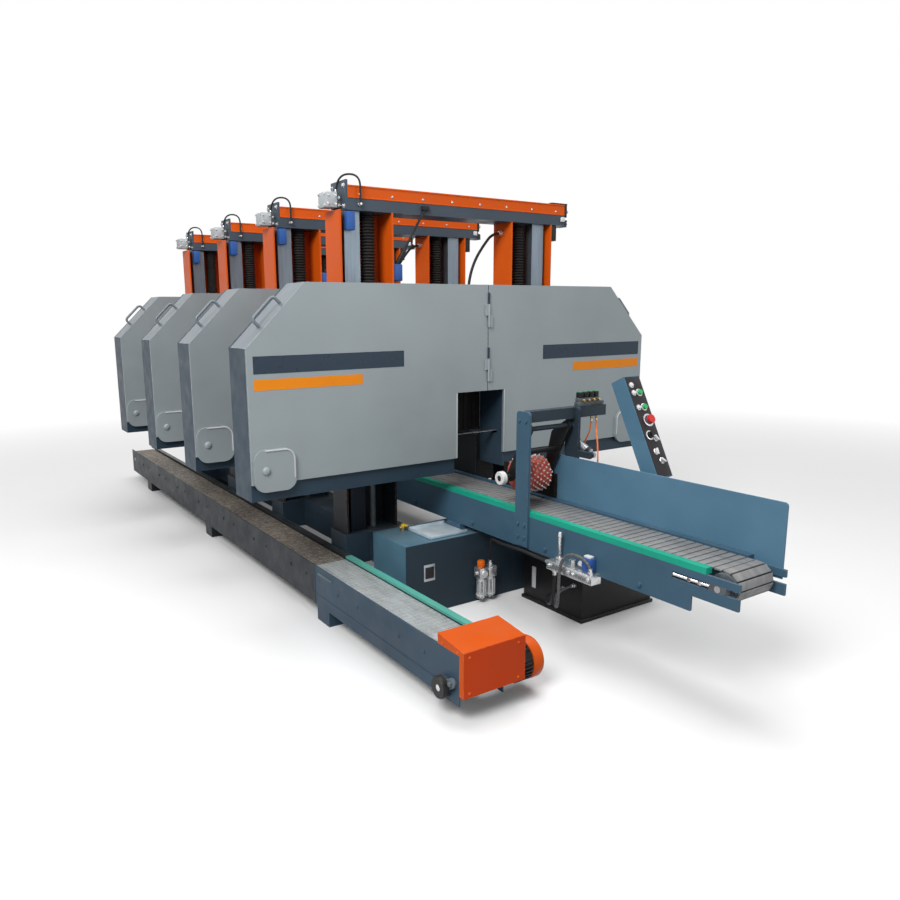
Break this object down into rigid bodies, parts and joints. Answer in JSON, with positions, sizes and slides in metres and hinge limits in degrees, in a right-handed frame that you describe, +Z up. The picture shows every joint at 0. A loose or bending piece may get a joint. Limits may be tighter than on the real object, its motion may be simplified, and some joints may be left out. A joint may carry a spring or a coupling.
{
  "type": "multihead horizontal resaw",
  "caption": "Floor machine with a row of horizontal band-saw heads on lifting gantries over one feed conveyor, with a spiked hold-down roller and a low return conveyor beside it.",
  "frame": {"origin": "on the floor under the middle of the feed belt, in the plane of the first head's doors", "axes": "+Y with the feed, from the infeed end to the outfeed end, +Z up, +X to the control box's side"},
  "size_m": [2.6, 5.94, 2.248],
  "materials": {
    "steel_blue_paint": "satin enamel",
    "orange_paint": "gloss enamel",
    "door_silver": "satin silver enamel",
    "satin_steel": "ground",
    "blade_steel": "rolled",
    "motor_grey": "satin enamel",
    "black_rubber": "matte",
    "belt_grey": "matte, dusty",
    "strip_green": "sliding plastic",
    "roller_white": "worn enamel",
    "black_paint": "satin enamel",
    "filter_grey": "moulded",
    "button_green": "moulded",
    "stop_red": "moulded",
    "selector_black": "moulded"
  },
  "bodies": {
    "base": {"gantry_columns": "orange_paint", "guide_posts": "satin_steel", "lift_screws": "satin_steel", "screw_bellows": "black_rubber", "top_beams": "steel_blue_paint", "beam_covers": "orange_paint", "gearmotors": "motor_grey", "bed_frame": "steel_blue_paint", "conveyor_frame": "steel_blue_paint", "conveyor_belts": "belt_grey", "edge_strips": "strip_green", "infeed_fence": "steel_blue_paint", "takeup_sets": "satin_steel", "press_portal": "steel_blue_paint", "control_box": "black_paint", "hydraulic_unit": "black_paint", "filter_regulator": "filter_grey", "return_frame": "steel_blue_paint", "chain_guard": "orange_paint", "hoses": "black_rubber"},
    "feed_idler_drum": {"feed_idler_drum": "satin_steel"},
    "feed_drive_drum": {"feed_drive_drum": "satin_steel"},
    "press_arm": {"press_arm": "black_paint"},
    "press_roller": {"press_roller": "roller_white"},
    "press_cylinder": {"press_cylinder": "satin_steel"},
    "press_rod": {"press_rod": "satin_steel"},
    "start_button_upper": {"start_button_upper": "button_green"},
    "start_button_lower": {"start_button_lower": "button_green"},
    "emergency_stop": {"emergency_stop": "stop_red"},
    "mode_selector": {"mode_selector": "selector_black"},
    "return_drive_roller": {"return_drive_roller": "satin_steel"},
    "return_idler_roller": {"return_idler_roller": "satin_steel"},
    "head_1": {"head_frame_1": "steel_blue_paint", "saw_blade_1": "blade_steel", "blade_motor_1": "motor_grey"},
    "left_door_1": {"left_door_1": "door_silver"},
    "right_door_1": {"right_door_1": "door_silver"},
    "drive_wheel_1": {"drive_wheel_1": "satin_steel"},
    "idler_wheel_1": {"idler_wheel_1": "satin_steel"},
    "head_2": {"head_frame_2": "steel_blue_paint", "saw_blade_2": "blade_steel", "blade_motor_2": "motor_grey"},
    "left_door_2": {"left_door_2": "door_silver"},
    "right_door_2": {"right_door_2": "door_silver"},
    "drive_wheel_2": {"drive_wheel_2": "satin_steel"},
    "idler_wheel_2": {"idler_wheel_2": "satin_steel"},
    "head_3": {"head_frame_3": "steel_blue_paint", "saw_blade_3": "blade_steel", "blade_motor_3": "motor_grey"},
    "left_door_3": {"left_door_3": "door_silver"},
    "right_door_3": {"right_door_3": "door_silver"},
    "drive_wheel_3": {"drive_wheel_3": "satin_steel"},
    "idler_wheel_3": {"idler_wheel_3": "satin_steel"},
    "head_4": {"head_frame_4": "steel_blue_paint", "saw_blade_4": "blade_steel", "blade_motor_4": "motor_grey"},
    "left_door_4": {"left_door_4": "door_silver"},
    "right_door_4": {"right_door_4": "door_silver"},
    "drive_wheel_4": {"drive_wheel_4": "satin_steel"},
    "idler_wheel_4": {"idler_wheel_4": "satin_steel"}
  },
  "joints": [
    {"name": "head_lift_1", "type": "slide", "parent": "base", "child": "head_1", "axis": [0, 0, 1], "range_m": [-0.27, 0.1]},
    {"name": "left_door_hinge_1", "type": "hinge", "parent": "head_1", "child": "left_door_1", "pos_m": [0.045, -0.008, 1.4], "axis": [0, 0, 1], "range_deg": [0, 42]},
    {"name": "right_door_hinge_1", "type": "hinge", "parent": "head_1", "child": "right_door_1", "pos_m": [0.045, -0.008, 1.4], "axis": [0, 0, -1], "range_deg": [0, 42]},
    {"name": "drive_wheel_spin_1", "type": "hinge", "parent": "head_1", "child": "drive_wheel_1", "pos_m": [-0.85, 0.0925, 1.245], "axis": [0, 1, 0], "continuous": true},
    {"name": "idler_wheel_spin_1", "type": "hinge", "parent": "head_1", "child": "idler_wheel_1", "pos_m": [0.85, 0.0925, 1.245], "axis": [0, 1, 0], "continuous": true},
    {"name": "head_lift_2", "type": "slide", "parent": "base", "child": "head_2", "axis": [0, 0, 1], "range_m": [-0.27, 0.1]},
    {"name": "left_door_hinge_2", "type": "hinge", "parent": "head_2", "child": "left_door_2", "pos_m": [0.045, 0.849, 1.4], "axis": [0, 0, 1], "range_deg": [0, 15]},
    {"name": "right_door_hinge_2", "type": "hinge", "parent": "head_2", "child": "right_door_2", "pos_m": [0.045, 0.849, 1.4], "axis": [0, 0, -1], "range_deg": [0, 28]},
    {"name": "drive_wheel_spin_2", "type": "hinge", "parent": "head_2", "child": "drive_wheel_2", "pos_m": [-0.85, 0.9495, 1.245], "axis": [0, 1, 0], "continuous": true},
    {"name": "idler_wheel_spin_2", "type": "hinge", "parent": "head_2", "child": "idler_wheel_2", "pos_m": [0.85, 0.9495, 1.245], "axis": [0, 1, 0], "continuous": true},
    {"name": "head_lift_3", "type": "slide", "parent": "base", "child": "head_3", "axis": [0, 0, 1], "range_m": [-0.27, 0.1]},
    {"name": "left_door_hinge_3", "type": "hinge", "parent": "head_3", "child": "left_door_3", "pos_m": [0.045, 1.706, 1.4], "axis": [0, 0, 1], "range_deg": [0, 15]},
    {"name": "right_door_hinge_3", "type": "hinge", "parent": "head_3", "child": "right_door_3", "pos_m": [0.045, 1.706, 1.4], "axis": [0, 0, -1], "range_deg": [0, 28]},
    {"name": "drive_wheel_spin_3", "type": "hinge", "parent": "head_3", "child": "drive_wheel_3", "pos_m": [-0.85, 1.8065, 1.245], "axis": [0, 1, 0], "continuous": true},
    {"name": "idler_wheel_spin_3", "type": "hinge", "parent": "head_3", "child": "idler_wheel_3", "pos_m": [0.85, 1.8065, 1.245], "axis": [0, 1, 0], "continuous": true},
    {"name": "head_lift_4", "type": "slide", "parent": "base", "child": "head_4", "axis": [0, 0, 1], "range_m": [-0.27, 0.1]},
    {"name": "left_door_hinge_4", "type": "hinge", "parent": "head_4", "child": "left_door_4", "pos_m": [0.045, 2.563, 1.4], "axis": [0, 0, 1], "range_deg": [0, 15]},
    {"name": "right_door_hinge_4", "type": "hinge", "parent": "head_4", "child": "right_door_4", "pos_m": [0.045, 2.563, 1.4], "axis": [0, 0, -1], "range_deg": [0, 28]},
    {"name": "drive_wheel_spin_4", "type": "hinge", "parent": "head_4", "child": "drive_wheel_4", "pos_m": [-0.85, 2.6635, 1.245], "axis": [0, 1, 0], "continuous": true},
    {"name": "idler_wheel_spin_4", "type": "hinge", "parent": "head_4", "child": "idler_wheel_4", "pos_m": [0.85, 2.6635, 1.245], "axis": [0, 1, 0], "continuous": true},
    {"name": "feed_drive_drum_spin", "type": "hinge", "parent": "base", "child": "feed_drive_drum", "pos_m": [0, 3.67, 0.537], "axis": [1, 0, 0], "continuous": true},
    {"name": "feed_idler_drum_spin", "type": "hinge", "parent": "base", "child": "feed_idler_drum", "pos_m": [0, -1.6, 0.537], "axis": [1, 0, 0], "continuous": true},
    {"name": "return_drive_roller_spin", "type": "hinge", "parent": "base", "child": "return_drive_roller", "pos_m": [-0.85, -1.005, 0.13], "axis": [1, 0, 0], "continuous": true},
    {"name": "return_idler_roller_spin", "type": "hinge", "parent": "base", "child": "return_idler_roller", "pos_m": [-0.85, 4.155, 0.205], "axis": [1, 0, 0], "continuous": true},
    {"name": "press_arm_swing", "type": "hinge", "parent": "base", "child": "press_arm", "pos_m": [0, -0.53, 1], "axis": [1, 0, 0], "range_deg": [-10, 20]},
    {"name": "press_roller_spin", "type": "hinge", "parent": "press_arm", "child": "press_roller", "pos_m": [0, -0.4, 0.745], "axis": [1, 0, 0], "continuous": true},
    {"name": "press_cylinder_swing", "type": "hinge", "parent": "base", "child": "press_cylinder", "pos_m": [0.197, -0.64, 0.858], "axis": [1, 0, 0], "range_deg": [-4, 8]},
    {"name": "press_rod_stroke", "type": "slide", "parent": "press_cylinder", "child": "press_rod", "axis": [0, 0.9092, 0.4163], "range_m": [-0.02, 0.04]},
    {"name": "start_button_upper_press", "type": "slide", "parent": "base", "child": "start_button_upper", "axis": [0, 0.8949, -0.4462], "range_m": [0, 0.004], "stiffness_N_per_m": 400, "springref_m": -0.002},
    {"name": "start_button_lower_press", "type": "slide", "parent": "base", "child": "start_button_lower", "axis": [0, 0.8949, -0.4462], "range_m": [0, 0.004], "stiffness_N_per_m": 400, "springref_m": -0.002},
    {"name": "emergency_stop_press", "type": "slide", "parent": "base", "child": "emergency_stop", "axis": [0, 0.8949, -0.4462], "range_m": [0, 0.006]},
    {"name": "mode_selector_turn", "type": "hinge", "parent": "base", "child": "mode_selector", "pos_m": [0.2995, -0.89219, 0.97815], "axis": [0, -0.8949, 0.4462], "range_deg": [-45, 45]}
  ],
  "couplings": [
    {"joint": "idler_wheel_spin_1", "follows": "drive_wheel_spin_1", "ratio": 1},
    {"joint": "idler_wheel_spin_2", "follows": "drive_wheel_spin_2", "ratio": 1},
    {"joint": "idler_wheel_spin_3", "follows": "drive_wheel_spin_3", "ratio": 1},
    {"joint": "idler_wheel_spin_4", "follows": "drive_wheel_spin_4", "ratio": 1},
    {"joint": "feed_idler_drum_spin", "follows": "feed_drive_drum_spin", "ratio": 1},
    {"joint": "return_idler_roller_spin", "follows": "return_drive_roller_spin", "ratio": 0.64286},
    {"joint": "press_cylinder_swing", "follows": "press_arm_swing", "ratio": 0.2385},
    {"joint": "press_rod_stroke", "follows": "press_arm_swing", "m_per_rad": 0.0833}
  ]
}
